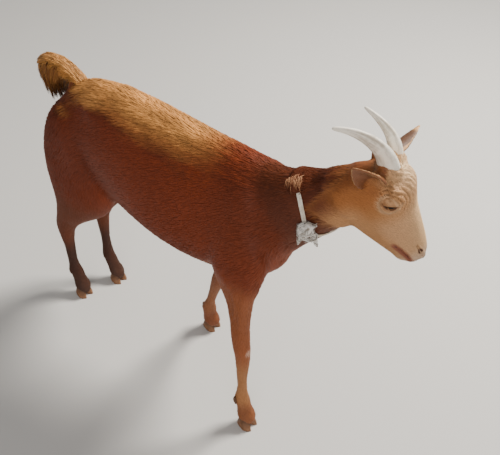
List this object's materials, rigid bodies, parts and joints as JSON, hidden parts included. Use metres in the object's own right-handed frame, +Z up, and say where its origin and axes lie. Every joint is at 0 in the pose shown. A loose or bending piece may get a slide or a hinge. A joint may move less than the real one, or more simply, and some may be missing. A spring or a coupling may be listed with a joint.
{
  "type": "goat",
  "caption": "Still life-size horned doe goat in mid step with a tied strap collar, for display; stands free on its hooves.",
  "frame": {"origin": "on the floor under the middle of the goat's box", "axes": "+X the way the goat walks, +Y its left side, +Z up"},
  "size_m": [0.8308, 0.2558, 0.7401],
  "materials": {
    "coat": "short flat hair, satin",
    "face": "short fine hair, satin",
    "horn": "ringed horn, satin",
    "claw": "worn hoof horn, matte",
    "eye": "wet gloss",
    "strap": "worn plastic strip, satin"
  },
  "bodies": {
    "root": {"claw_front_left_inner": "claw", "claw_front_left_outer": "claw", "claw_front_right_inner": "claw", "claw_front_right_outer": "claw", "claw_hind_left_inner": "claw", "claw_hind_left_outer": "claw", "claw_hind_right_inner": "claw", "claw_hind_right_outer": "claw", "collar": "strap", "collar_knot": "strap", "dewclaw_front_left_inner": "claw", "dewclaw_front_left_outer": "claw", "dewclaw_front_right_inner": "claw", "dewclaw_front_right_outer": "claw", "dewclaw_hind_left_inner": "claw", "dewclaw_hind_left_outer": "claw", "dewclaw_hind_right_inner": "claw", "dewclaw_hind_right_outer": "claw", "ear_left": "coat", "ear_right": "coat", "eye_left": "eye", "eye_right": "eye", "foreleg_left": "coat", "foreleg_right": "coat", "head": "face", "hindleg_left": "coat", "hindleg_right": "coat", "horn_left": "horn", "horn_right": "horn", "neck": "coat", "tail": "coat", "trunk": "coat", "udder": "coat"}
  },
  "joints": []
}
